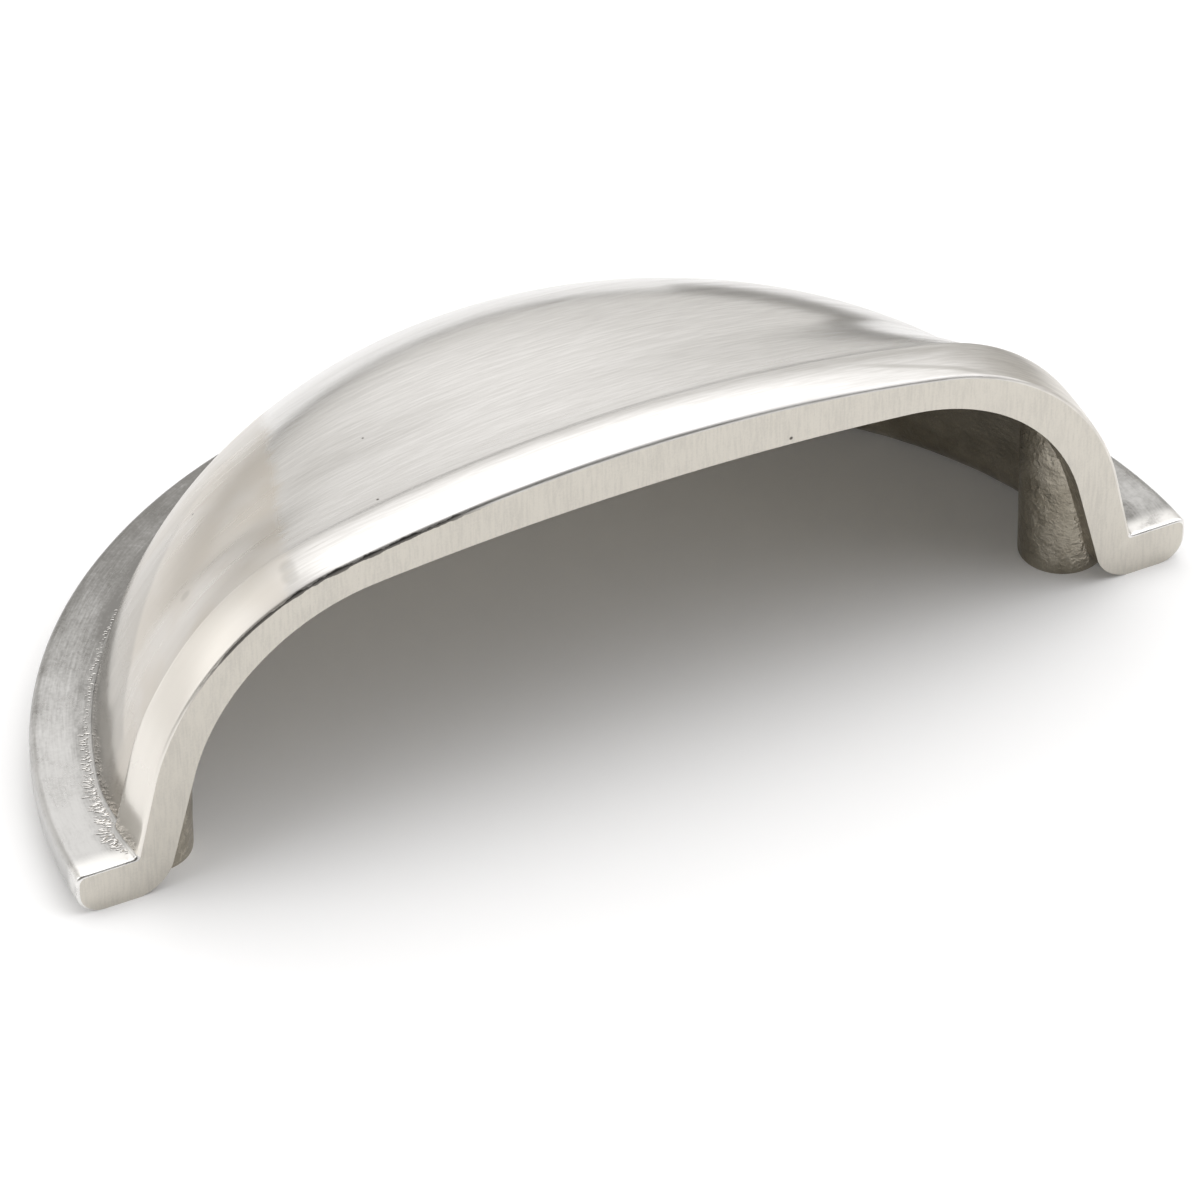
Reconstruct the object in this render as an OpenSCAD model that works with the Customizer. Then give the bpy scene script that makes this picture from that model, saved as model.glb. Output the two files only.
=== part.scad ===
// Cup pull for a drawer or a cabinet door: one hollow casting with a flat
// half-round flange, a low dome, a rolled lip round the finger opening and
// two tapped bosses inside for the screws that come through the door.
// The origin lies midway between the two screw holes on the mounting face.
// X runs along the pull, +Y to its closed back and +Z out from the door.

/* [Mounting flange] */
// Length of the flange, end to end along the mouth
flange_length = 94.5; // [92:0.5:104]
// Depth of the flange, from the mouth face to its back edge
flange_depth = 44.5; // [42.5:0.5:52]
// Thickness of the flange
flange_t = 3.8; // [3:0.2:5]
// Rounding of the flange's lower outer edge
flange_lower_r = 2; // [0.6:0.2:2.2]
// Rounding of the flange's upper outer edge
flange_upper_r = 0.6; // [0.2:0.1:0.8]

/* [Mouth arch] */
// Width of the arch over the flange
mouth_width = 84.6; // [82:0.2:88]
// Height of the arch at its middle
mouth_height = 27.8; // [25:0.2:31]
// Radius of the long, nearly straight top of the arch
mouth_crown_r = 127; // [90:1:200]
// Radius of the arch's two corners
mouth_corner_r = 20; // [16:0.5:22]
// Lean of the arch's sides, in degrees
mouth_lean = 13; // [8:0.5:15]

/* [Band round the opening] */
// Thickness of the band at the sides, over the flange
band_side_t = 3.25; // [2.8:0.05:3.8]
// Thickness of the band at the top
band_top_t = 3.8; // [3:0.05:4.2]
// Radius of the opening's long top
opening_crown_r = 220; // [160:5:280]
// Radius of the opening's two corners
opening_corner_r = 17.4; // [16:0.2:18.4]
// Lean of the opening's sides, in degrees
opening_lean = 14.7; // [13:0.1:16]
// Depth of the band, before the hollow widens
band_depth = 2.9; // [2:0.1:4]
// Rounding of the band's inner edge on the mounting face
rim_foot_r = 2.4; // [1.2:0.2:2.8]

/* [Rolled lip] */
// Distance of the lip's crest behind the mouth face
crest_back = 3.4; // [2.6:0.1:4]
// Height of the crest over the mouth edge, at the top
crest_top_h = 0.9; // [0.6:0.05:1.4]
// Height of the crest over the mouth edge, at the sides
crest_side_h = 0.2; // [0.1:0.05:0.5]
// Length of the fall from the crest to the crease
fall_l = 1.1; // [0.8:0.1:2]
// Step down from the crest to the dome, at the top
step_top_h = 0.2; // [0.1:0.05:0.8]
// Step down from the crest to the dome, at the sides
step_side_h = 0.6; // [0.3:0.05:1]

/* [Dome] */
// Width of the dome on the flange
dome_width = 85; // [83:0.5:88]
// Depth of the dome, from the mouth face to its back on the flange
dome_depth = 40; // [37:0.1:41]
// Height of the crown
dome_height = 27.75; // [25:0.25:29.5]
// Radius of the dome's top
dome_crown_r = 88; // [80:1:140]
// Radius of the shoulder between the top and the wall
dome_shoulder_r = 27.3; // [22:0.1:29]
// Lean of the dome's wall, in degrees
dome_lean = 10; // [6:0.5:14]
// Depth over which the form of the lip passes into the form of the dome
dome_mix = 12; // [10:0.5:20]
// Wall thickness of the dome
wall_t = 2.5; // [2:0.1:2.8]

/* [Screw bosses] */
// Distance between the two screw holes
hole_spacing = 76; // [75:0.5:77]
// Distance of the screw holes behind the mouth face
hole_back = 5.3; // [4.8:0.1:7]
// Wall diameter of the tapped hole
hole_d = 3.3; // [2.5:0.1:3.5]
// Depth of the tapped hole
hole_depth = 8; // [6:0.5:8]
// Diameter of the boss at the mounting face
boss_d = 6.8; // [6.4:0.1:8]
// Growth of the boss's diameter up to the ceiling
boss_taper = 0.9; // [0:0.1:1.6]
// Distance of the boss's axis outside the hole's axis
boss_shift = 1.2; // [0.6:0.1:1.5]

/* [Hidden] */
nickel = [0.74, 0.72, 0.69];
arch_steps = 11;
top_steps = 7;
dome_steps = 15;
flange_steps = 96;
past = 1;
mouth_y = -hole_back;
// Shares of the arch's height between which the crest grows and the step fades.
crest_grows = [0.55, 0.95];
step_fades = [0.35, 0.8];
// Depth behind the band over which the hollow widens to the dome's wall.
hollow_widens = 2;

// An arch is kept as [half width at height z0, z0, height, crown radius, corner radius, lean].
mouth_arch = [mouth_width / 2, flange_t, mouth_height, mouth_crown_r, mouth_corner_r, mouth_lean];
opening_arch = [mouth_width / 2 - band_side_t, flange_t, mouth_height - band_top_t,
    opening_crown_r, opening_corner_r, opening_lean];
dome_arch = [dome_width / 2, flange_t, dome_height, dome_crown_r, dome_shoulder_r, dome_lean];

// The same arch moved inwards by a wall thickness.
function inset(a, t) = [a[0] - t / cos(a[5]), a[1], a[2] - t, a[3] - t, a[4] - t, a[5]];

// Angle at which the crown arc passes into the corner arc.
function joint_angle(a) =
    let (k = (a[0] - a[4] * cos(a[5]) - (a[2] - a[3] + a[4] * sin(a[5]) - a[1]) * tan(a[5])) * cos(a[5]))
    asin(k / (a[3] - a[4])) - a[5];

// Centre of the corner arc.
function corner_centre(a, phi) =
    [(a[3] - a[4]) * sin(phi), a[2] - a[3] + (a[3] - a[4]) * cos(phi)];

// Height of the arch at distance x from its middle, carried on downwards past the foot.
function arch_z(a, phi, c, x) =
    x < a[3] * sin(phi) ? a[2] - a[3] + sqrt(pow(a[3], 2) - x * x) :
    x < c[0] + a[4] * cos(a[5]) ? c[1] + sqrt(pow(a[4], 2) - pow(x - c[0], 2)) :
    a[1] + (a[0] - x) / tan(a[5]);

// Distance from the middle of the base to a body that is the arch turned about
// its middle and squashed front to back, at depth y and in direction al.
function reach(a, phi, c, squash, y, al, low = 0, high = 60, n = 18) =
    let (m = (low + high) / 2)
    n == 0 ? m :
    m * sin(al) < arch_z(a, phi, c, sqrt(pow(m * cos(al), 2) + pow(y / squash, 2)))
        ? reach(a, phi, c, squash, y, al, m, high, n - 1)
        : reach(a, phi, c, squash, y, al, low, m, n - 1);

function arch_reach(a, al) = let (phi = joint_angle(a)) reach(a, phi, corner_centre(a, phi), 1, 0, al);
function ease(t) = let (u = max(0, min(1, t))) u * u * (3 - 2 * u);
function share_of(span, r) = ease((r - span[0]) / (span[1] - span[0]));
function mix(p, q, t) = p + (q - p) * t;

// Directions of the stations round half the mouth arch, from the foot to the top.
// The lowest ones are close together, over the rounding of the band's inner edge.
mouth_phi = joint_angle(mouth_arch);
mouth_c = corner_centre(mouth_arch, mouth_phi);
side_top = mouth_c[1] + mouth_corner_r * sin(mouth_lean);
function side_x(z) = mouth_arch[0] + (flange_t - z) * tan(mouth_lean);
foot_heights = [0, 0.12, 0.3, 0.55, 0.8, 1];
half_stations = concat(
    [for (f = foot_heights) [side_x(f * rim_foot_r), f * rim_foot_r]],
    [for (k = [1:2]) let (z = mix(rim_foot_r, side_top, k / 3)) [side_x(z), z]],
    [for (k = [0:arch_steps]) let (t = mix(90 - mouth_lean, mouth_phi, k / arch_steps))
        mouth_c + mouth_corner_r * [sin(t), cos(t)]],
    [for (k = [1:top_steps]) let (t = mouth_phi * (1 - k / top_steps))
        [mouth_crown_r * sin(t), mouth_height - mouth_crown_r + mouth_crown_r * cos(t)]]);
half_dirs = [for (p = half_stations) atan2(p[1], p[0])];
first = len(foot_heights) - 1;
last = len(half_dirs) - 1;
directions = concat(half_dirs, [for (k = [1:last]) 180 - half_dirs[last - k]]);

// Share of the arch's height at a direction, 0 at the foot and 1 at the top.
rise = [for (al = directions) arch_reach(mouth_arch, al) * sin(al) / mouth_height];

// The lip rises from the mouth edge to its crest and falls, ever steeper, to a
// crease where the dome begins.
mouth_edge = [for (al = directions) arch_reach(mouth_arch, al)];
opening = [for (al = directions) arch_reach(opening_arch, al)];
crest = [for (i = [0:len(directions) - 1])
    mouth_edge[i] + mix(crest_side_h, crest_top_h, share_of(crest_grows, rise[i]))];
step = [for (r = rise) mix(step_side_h, step_top_h, share_of(step_fades, r))];

// The dome and its cavity: the crest moved in by a step, passing towards the
// back into the arch turned about its middle.
function skin(t) =
    let (d = inset(dome_arch, t), phi = joint_angle(d))
    [t, d, phi, corner_centre(d, phi), (dome_depth - t / cos(dome_lean)) / d[0]];
function skin_reach(s, i, y) =
    mix(crest[i] - step[i] - s[0], reach(s[1], s[2], s[3], s[4], y, directions[i]), ease(y / dome_mix));
function skin_depth(s) = s[4] * (s[1][0] + flange_t * tan(dome_lean));

outside = skin(0);
inside = skin(wall_t);
crease_back = crest_back + fall_l;
function outer_reach(i, y) =
    y <= crest_back ? mix(crest[i], mouth_edge[i], pow(1 - y / crest_back, 2))
        : mix(crest[i], skin_reach(outside, i, y), pow(min(1, (y - crest_back) / fall_l), 2));
function inner_reach(i, y) = mix(opening[i], skin_reach(inside, i, y), ease((y - band_depth) / hollow_widens));

// One cross-section at depth y behind the mouth face. The outer one starts
// inside the flange, above the rounding of the band's inner edge.
function outer_section(y) = [for (i = [first:len(directions) - 1 - first])
    let (r = outer_reach(i, y), al = directions[i]) [r * cos(al), y, r * sin(al)]];
function inner_section(y) = concat(
    [let (p = inner_point(0, y)) [p[0], y, -past]],
    [for (i = [0:len(directions) - 1]) inner_point(i, y)],
    [let (p = inner_point(len(directions) - 1, y)) [p[0], y, -past]]);
function inner_point(i, y) =
    let (r = inner_reach(i, y), al = directions[i], x = r * cos(al), z = r * sin(al), low = max(0, rim_foot_r - z),
         flare = rim_foot_r - sqrt(pow(rim_foot_r, 2) - min(pow(low, 2), pow(rim_foot_r, 2))))
    [x + sign(x) * min(flare, band_side_t), y, z];

// Depths of the sections: close together on the lip, then in even angles to the back.
lip_depths = concat([for (t = [0:0.25:1]) crest_back * t], [for (k = [1:3]) crest_back + fall_l * k / 3]);
function back_depths(from, depth, n) =
    let (a0 = asin(from / depth)) [for (k = [1:n - 1]) depth * sin(mix(a0, 90, k / n))];

// A closed solid through cross-sections, ending in a tip or in the last section.
module loft(sections, tip = undef) {
    m = len(sections);
    n = len(sections[0]);
    points = concat([for (s = sections) each s], is_undef(tip) ? [] : [tip]);
    skin_faces = [for (j = [0:m - 2], i = [0:n - 2]) each
        [[j * n + i, j * n + i + 1, (j + 1) * n + i + 1], [j * n + i, (j + 1) * n + i + 1, (j + 1) * n + i]]];
    base_faces = [for (j = [0:m - 2]) each
        [[j * n, (j + 1) * n, (j + 1) * n + n - 1], [j * n, (j + 1) * n + n - 1, j * n + n - 1]]];
    tip_faces = is_undef(tip) ? [[for (i = [0:n - 1]) (m - 1) * n + i]] :
        [for (i = [0:n - 1]) [(m - 1) * n + i, (m - 1) * n + (i + 1) % n, m * n]];
    polyhedron(points, concat([[for (i = [n - 1:-1:0]) i]], skin_faces, base_faces, tip_faces), convexity = 6);
}

// The half-round plate, carried past the mouth face and built down through its
// outline: the upper rounding, the edge and the lower rounding, each as
// [distance inwards, height].
module flange() {
    r = flange_length / 2;
    rim = concat(
        [for (t = [0:45:90]) [flange_upper_r * (1 - sin(t)), flange_t - flange_upper_r * (1 - cos(t))]],
        [for (t = [90:-18:0]) flange_lower_r * [1 - sin(t), 1 - cos(t)]]);
    loft([for (p = rim) concat([[r - p[0], -past, p[1]]],
        [for (k = [0:flange_steps]) let (t = 180 * k / flange_steps)
            [(r - p[0]) * cos(t), (r - p[0]) * flange_depth / r * sin(t), p[1]]],
        [[p[0] - r, -past, p[1]]])]);
}

// Dome and lip as one solid, from before the mouth face to the back.
module dome_and_lip() {
    depth = skin_depth(outside);
    loft(concat([[for (p = outer_section(0)) p - [0, past, 0]]],
            [for (y = lip_depths) outer_section(y)],
            [for (y = back_depths(crease_back, depth, dome_steps)) outer_section(y)]),
        [0, depth, rim_foot_r / 4]);
}

// The finger hollow, carried past the mouth face and below the mounting face.
module hollow() {
    depth = skin_depth(inside);
    loft(concat([inner_section(-past), inner_section(0)],
            [for (t = [0:0.25:1]) inner_section(band_depth + t * hollow_widens)],
            [for (y = back_depths(band_depth + hollow_widens, depth, dome_steps - 3)) inner_section(y)]),
        [0, depth, -past]);
}

// A pillar cast against each side wall, a little wider towards the ceiling.
module boss(side) {
    translate([side * (hole_spacing / 2 + boss_shift), hole_back, -2 * past])
        cylinder(h = dome_height + 2 * past, d1 = boss_d, d2 = boss_d + boss_taper, $fn = 64);
}

// A blind tapped hole, open on the mounting face.
module screw_hole(side) {
    translate([side * hole_spacing / 2, hole_back, -past])
        cylinder(h = hole_depth + past, d = hole_d, $fn = 48);
}

// The cut that leaves the mouth face flat.
module mouth_cut() {
    translate([-flange_length, -2 * past, -past])
        cube([2 * flange_length, 2 * past, mouth_height + 2 * past]);
}

module cup_pull() {
    color(nickel) translate([0, mouth_y, 0]) difference() {
        union() {
            flange();
            dome_and_lip();
        }
        difference() {
            hollow();
            for (side = [-1, 1]) boss(side);
        }
        for (side = [-1, 1]) screw_hole(side);
        mouth_cut();
    }
}

cup_pull();
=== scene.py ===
"""A cabinet cup pull in satin nickel: one hollow casting, lying on its mounting face on white paper."""

import math

import bmesh
import bpy
import numpy as np
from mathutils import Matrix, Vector


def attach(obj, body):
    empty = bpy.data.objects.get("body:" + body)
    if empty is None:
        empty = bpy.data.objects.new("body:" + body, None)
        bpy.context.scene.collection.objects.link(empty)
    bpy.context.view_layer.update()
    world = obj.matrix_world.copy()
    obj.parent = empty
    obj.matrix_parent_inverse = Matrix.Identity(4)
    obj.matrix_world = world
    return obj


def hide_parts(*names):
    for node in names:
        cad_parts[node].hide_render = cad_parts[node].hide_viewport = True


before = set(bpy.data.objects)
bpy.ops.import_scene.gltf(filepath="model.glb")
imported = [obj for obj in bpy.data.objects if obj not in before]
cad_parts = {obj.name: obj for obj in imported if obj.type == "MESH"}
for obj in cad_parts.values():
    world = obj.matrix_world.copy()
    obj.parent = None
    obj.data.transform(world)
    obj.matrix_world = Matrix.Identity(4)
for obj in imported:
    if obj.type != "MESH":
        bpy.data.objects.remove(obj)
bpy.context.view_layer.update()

# Camera: in front of the mouth, to the left of the pull and above it, far away behind a long
# lens. Its place was worked out from the pull's own outlines.
MM = 0.001
CAMERA_AZIMUTH = math.radians(-26.74)
CAMERA_ELEVATION = math.radians(39.47)
CAMERA_DISTANCE = 600.9 * MM
CAMERA_TARGET = Vector((-3.415, -4.293, 13.52)) * MM
SENSOR_WIDTH = 36.0
LENS_LENGTH = 240.0

towards_camera = Vector((
    math.sin(CAMERA_AZIMUTH) * math.cos(CAMERA_ELEVATION),
    -math.cos(CAMERA_AZIMUTH) * math.cos(CAMERA_ELEVATION),
    math.sin(CAMERA_ELEVATION),
))
camera = bpy.data.objects.new("camera", bpy.data.cameras.new("camera"))
camera.data.lens = LENS_LENGTH
camera.data.sensor_width = SENSOR_WIDTH
camera.location = CAMERA_TARGET + towards_camera * CAMERA_DISTANCE
camera.rotation_mode = "QUATERNION"
camera.rotation_quaternion = (-towards_camera).to_track_quat("-Z", "Y")
bpy.context.scene.collection.objects.link(camera)
bpy.context.scene.camera = camera

# Casting: a hollow half dome of zinc alloy on a half-round flange, with a rolled lip round the
# mouth and two screw bosses inside, cast in one piece. It is brushed on a belt outside, left
# rough inside and plated in satin nickel. Its sizes are in millimetres.
FLANGE_LENGTH = 94.5
FLANGE_DEPTH = 44.5
FLANGE_T = 3.8
FLANGE_LOWER_R = 2.0
FLANGE_UPPER_R = 0.6
ROOT_COVE_R = 0.35

MOUTH_WIDTH = 84.6
MOUTH_HEIGHT = 27.8
MOUTH_CROWN_R = 127.0
MOUTH_CORNER_R = 20.0
MOUTH_LEAN = math.radians(13.0)
RIM_EDGE_R = 0.22

BAND_SIDE_T = 3.25
BAND_TOP_T = 3.8
OPENING_CROWN_R = 220.0
OPENING_CORNER_R = 17.4
OPENING_LEAN = math.radians(14.7)
BAND_DEPTH = 2.9
HOLLOW_WIDENS = 2.0  # depth behind the band over which the hollow widens
RIM_FOOT_R = 2.4

CREST_BACK = 3.4
CREST_TOP_H = 0.9
CREST_SIDE_H = 0.2
CREST_GROWS = (0.55, 0.95)  # shares of the arch's height between which the crest grows
FALL_L = 1.1
STEP_TOP_H = 0.2
STEP_SIDE_H = 0.6
STEP_FADES = (0.35, 0.8)  # shares of the arch's height between which the step fades
CREASE_BACK = CREST_BACK + FALL_L

DOME_WIDTH = 85.0
DOME_DEPTH = 40.0
DOME_HEIGHT = 27.75
DOME_CROWN_R = 88.0
DOME_SHOULDER_R = 27.3
DOME_LEAN = math.radians(10.0)
DOME_MIX = 12.0
WALL_T = 2.5

HOLE_SPACING = 76.0
HOLE_BACK = 5.3
HOLE_D = 3.3
HOLE_DEPTH = 8.0
BOSS_D = 6.8
BOSS_TAPER = 0.9
BOSS_SHIFT = 1.2

BACK_FROM = 8.0  # depth behind the mouth at which the sections turn into a fan


def ease(share):
    """Passes from 0 to 1 with a level start and a level end."""
    share = np.clip(share, 0.0, 1.0)
    return share * share * (3.0 - 2.0 * share)


def mix(a, b, share):
    return a + (b - a) * share


class Arch:
    """Half of a symmetric arch: a leaning side, a round corner and a long crown arc."""

    def __init__(self, half, foot, height, crown_r, corner_r, lean):
        self.half, self.foot, self.height = half, foot, height
        self.crown_r, self.corner_r, self.lean = crown_r, corner_r, lean
        spread = crown_r - corner_r
        across = half - corner_r * math.cos(lean)
        up = height - crown_r + corner_r * math.sin(lean) - foot
        self.joint = math.asin((across - up * math.tan(lean)) * math.cos(lean) / spread) - lean
        self.crown_z = height - crown_r
        self.corner = (spread * math.sin(self.joint), self.crown_z + spread * math.cos(self.joint))

    def inset(self, wall):
        """The same arch moved inwards by a wall's thickness."""
        half = self.half - wall / math.cos(self.lean)
        height = self.height - wall
        return Arch(half, self.foot, height, self.crown_r - wall, self.corner_r - wall, self.lean)

    def z_at(self, x):
        """Height of the arch at distance x from its middle, carried on downwards past its foot."""
        crown = self.crown_z + np.sqrt(np.maximum(self.crown_r**2 - x**2, 0))
        corner = self.corner[1] + np.sqrt(np.maximum(self.corner_r**2 - (x - self.corner[0]) ** 2, 0))
        side = self.foot + (self.half - x) / math.tan(self.lean)
        past_corner = x < self.corner[0] + self.corner_r * math.cos(self.lean)
        return np.where(x < self.crown_r * math.sin(self.joint), crown, np.where(past_corner, corner, side))

    def reach(self, rise):
        """Distance from the middle of the base to the arch, in the direction rise above the horizon."""
        return search(rise.shape, lambda far: far * np.sin(rise) < self.z_at(far * np.cos(rise)))


FARTHEST = 60.0  # more than the reach of any part of the casting
HALVINGS = 42


def search(shape, is_within):
    """The greatest distances that are still within a body, found by halving."""
    low = np.zeros(shape)
    high = np.full(shape, FARTHEST)
    for _ in range(HALVINGS):
        middle = (low + high) / 2
        within = is_within(middle)
        low, high = np.where(within, middle, low), np.where(within, high, middle)
    return low


opening = Arch(
    MOUTH_WIDTH / 2 - BAND_SIDE_T,
    FLANGE_T,
    MOUTH_HEIGHT - BAND_TOP_T,
    OPENING_CROWN_R,
    OPENING_CORNER_R,
    OPENING_LEAN,
)
mouth = Arch(MOUTH_WIDTH / 2, FLANGE_T, MOUTH_HEIGHT, MOUTH_CROWN_R, MOUTH_CORNER_R, MOUTH_LEAN)
dome = Arch(DOME_WIDTH / 2, FLANGE_T, DOME_HEIGHT, DOME_CROWN_R, DOME_SHOULDER_R, DOME_LEAN)


def share_between(rise, span):
    """How far the mouth arch has risen between two shares of its height, eased."""
    share = mouth.reach(rise) * np.sin(rise) / MOUTH_HEIGHT
    return ease((share - span[0]) / (span[1] - span[0]))


def crest_reach(rise):
    """Distance from the middle of the base to the lip's crest."""
    return mouth.reach(rise) + mix(CREST_SIDE_H, CREST_TOP_H, share_between(rise, CREST_GROWS))


LOWEST_RISE = -0.1  # in radians, a little below the mounting face
RISE_CELLS = 699
DEPTH_CELLS = 299


class Skin:
    """The dome's surface moved inwards by a wall: behind the lip it follows the crest, and towards the back
    it passes into the dome's arch turned about its middle and squashed front to back. Its reach is
    worked out once over a grid of rises and depths, and read from there."""

    def __init__(self, wall):
        self.back = dome.inset(wall)
        self.squash = (DOME_DEPTH - wall / math.cos(DOME_LEAN)) / self.back.half
        self.rises = np.linspace(LOWEST_RISE, math.pi / 2, RISE_CELLS + 1)
        self.depths = np.linspace(0, DOME_MIX, DEPTH_CELLS + 1)
        rise, depth = np.meshgrid(self.rises, self.depths, indexing="ij")
        turned = search(
            rise.shape,
            lambda far: far * np.sin(rise) < self.turned_z(far * np.cos(rise), depth),
        )
        step = mix(STEP_SIDE_H, STEP_TOP_H, share_between(self.rises, STEP_FADES))
        front = crest_reach(self.rises) - step - wall
        self.table = mix(front[:, None], turned, ease(depth / DOME_MIX))

    def turned_z(self, x, y):
        return self.back.z_at(np.hypot(x, y / self.squash))

    def reach(self, rise, depth):
        up = np.clip((rise - self.rises[0]) / (self.rises[1] - self.rises[0]), 0, RISE_CELLS - 0.001)
        along = np.clip(depth / (self.depths[1] - self.depths[0]), 0, DEPTH_CELLS - 0.001)
        i, j = up.astype(int), along.astype(int)
        near = mix(self.table[i, j], self.table[i + 1, j], up - i)
        far = mix(self.table[i, j + 1], self.table[i + 1, j + 1], up - i)
        return mix(near, far, along - j)

    def holds(self, x, y, z):
        mixed = np.hypot(x, z) < self.reach(np.arctan2(z, x), y)
        return np.where(y < DOME_MIX, mixed, z < self.turned_z(x, y))


outside = Skin(0.0)
inside = Skin(WALL_T)


def outer_reach(rise, y):
    """The lip rises from the mouth's edge to its crest and falls to the crease behind it, which is sharp
    at the sides and soft at the top."""
    crest = crest_reach(rise)
    front = mix(crest, mouth.reach(rise), (1 - y / CREST_BACK) ** 2)
    down = np.clip((y - CREST_BACK) / FALL_L, 0, 1)
    fall = mix(down**2, ease(down), share_between(rise, STEP_FADES))
    back = mix(crest, outside.reach(rise, y), fall)
    return np.where(y <= CREST_BACK, front, back)


def inner_reach(rise, y):
    """The opening as far as the band is deep, and then the hollow behind it."""
    widened = ease((y - BAND_DEPTH) / HOLLOW_WIDENS)
    return mix(opening.reach(rise), inside.reach(rise, np.maximum(y, 0)), widened)


def edge_round(y, r):
    """How far a surface stands back at distance y from an edge rounded to radius r."""
    short = np.clip(r - y, 0, r)
    return r - np.sqrt(r * r - short * short)


PROFILE_POINTS = 900
PROFILE_LOWEST_RISE = -0.02


def shell_profile(skin, depth, turn, section):
    """Points (out, up) from the top down to the foot, in the vertical half plane that goes through the
    middle at that depth, turned away from X. section gives the reach in a plane across the pull."""
    rise = np.linspace(math.pi / 2, PROFILE_LOWEST_RISE, PROFILE_POINTS)
    if turn == 0:
        reach = section(rise, np.full_like(rise, depth))
    else:
        def is_within(far):
            out = np.maximum(far * np.cos(rise), 0)
            return skin.holds(out * math.cos(turn), depth + out * math.sin(turn), far * np.sin(rise))

        reach = search(rise.shape, is_within)
    return np.stack([reach * np.cos(rise), reach * np.sin(rise)], 1)


def lengths_along(line):
    """Distance of each point of a line from its start."""
    steps = np.sqrt((np.diff(line, axis=0) ** 2).sum(axis=1))
    return np.concatenate([[0], np.cumsum(steps)])


def resample(line, cells):
    """Points that part a line into that many even lengths."""
    at = lengths_along(line)
    want = np.linspace(0, at[-1], cells + 1)
    return np.stack([np.interp(want, at, line[:, 0]), np.interp(want, at, line[:, 1])], 1)


def arc(out, up, r, start, end, cells):
    """Points on an arc about (out, up), from one angle in degrees to another."""
    turns = np.linspace(math.radians(start), math.radians(end), cells + 1)
    return np.stack([out + r * np.cos(turns), up + r * np.sin(turns)], 1)


DOME_CELLS = 104
COVE_CELLS = 5
FLANGE_CELLS = 12
FLANGE_UPPER_CELLS = 4
FLANGE_LOWER_CELLS = 7
INNER_CELLS = 96
OUTER_FAN_CELLS = 140
INNER_FAN_CELLS = 80
NEAR_ROOT = 2.5  # the root is looked for below this many thicknesses of the flange
CUT_PAST = 1.0  # how far a solid that is cut away reaches past the metal


def flange_edge(depth, turn, inset):
    """Distance along a half plane to the flange's outline, a half ellipse, moved in by inset."""
    half = FLANGE_LENGTH / 2 - inset
    back = half * FLANGE_DEPTH / (FLANGE_LENGTH / 2)
    if turn == 0:
        return half * math.sqrt(1 - (depth / back) ** 2)
    square = (math.cos(turn) / half) ** 2 + (math.sin(turn) / back) ** 2
    linear = depth * math.sin(turn) / back**2
    constant = (depth / back) ** 2 - 1
    return (-linear + math.sqrt(linear * linear - square * constant)) / square


def outer_profile(depth, turn):
    """The dome's top, wall and root cove, then the flange's top, edge and lower rounding, as (out, up)."""
    back_off = float(edge_round(depth, RIM_EDGE_R)) if turn == 0 else 0.0
    wall = shell_profile(outside, depth, turn, outer_reach)
    along = np.gradient(wall, axis=0)
    normal = np.stack([-along[:, 1], along[:, 0]], 1)
    normal /= np.hypot(*normal.T)[:, None]
    wall = wall - normal * back_off
    top_z = FLANGE_T - back_off
    middle = wall + normal * ROOT_COVE_R
    is_low = (middle[:, 1] < top_z + ROOT_COVE_R) & (wall[:, 1] < FLANGE_T * NEAR_ROOT)
    low = np.nonzero(is_low)[0][0]
    share = (middle[low - 1, 1] - top_z - ROOT_COVE_R) / (middle[low - 1, 1] - middle[low, 1])
    start = mix(wall[low - 1], wall[low], share)
    centre = mix(middle[low - 1], middle[low], share)
    swing = math.degrees(math.atan2(start[1] - centre[1], start[0] - centre[0]))
    swing = swing - 360 if swing > 0 else swing
    cove = arc(centre[0], centre[1], ROOT_COVE_R, swing, -90, COVE_CELLS)
    upper_z = FLANGE_T - FLANGE_UPPER_R - back_off
    rim = np.vstack([
        arc(FLANGE_UPPER_R + back_off, upper_z, FLANGE_UPPER_R, 90, 180, FLANGE_UPPER_CELLS),
        arc(FLANGE_LOWER_R + back_off, FLANGE_LOWER_R, FLANGE_LOWER_R, 180, 270, FLANGE_LOWER_CELLS),
    ])
    rim = np.array([[flange_edge(depth, turn, inset), z] for inset, z in rim])
    flat = mix(cove[-1], rim[0], np.linspace(0, 1, FLANGE_CELLS + 1)[1:-1, None])
    return np.vstack([resample(np.vstack([wall[:low], start]), DOME_CELLS), cove[1:], flat, rim])


def inner_profile(depth, turn):
    """The hollow's ceiling and wall, flaring at the mounting face and carried on below it."""
    wall = shell_profile(inside, depth, turn, inner_reach)
    flare = np.where(wall[:, 1] < RIM_FOOT_R, edge_round(wall[:, 1], RIM_FOOT_R), 0)
    wall = wall + np.stack([flare, np.zeros(len(wall))], 1)
    wall = wall[wall[:, 1] > 0]
    foot = np.array([[wall[-1, 0], 0.0], [wall[-1, 0], -CUT_PAST]])
    return np.vstack([resample(wall, INNER_CELLS), foot])


def half_grid(profile, front_depths, turns):
    """Places of the half of a surface with x over 0: rows behind the mouth, then a fan round the back."""
    rows = []
    for depth in front_depths:
        out, up = profile(depth, 0.0).T
        rows.append(np.stack([out, np.full(len(out), depth), up], 1))
    for turn in turns:
        out, up = profile(BACK_FROM, turn).T
        rows.append(np.stack([out * math.cos(turn), BACK_FROM + out * math.sin(turn), up], 1))
    return np.array(rows)


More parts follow.
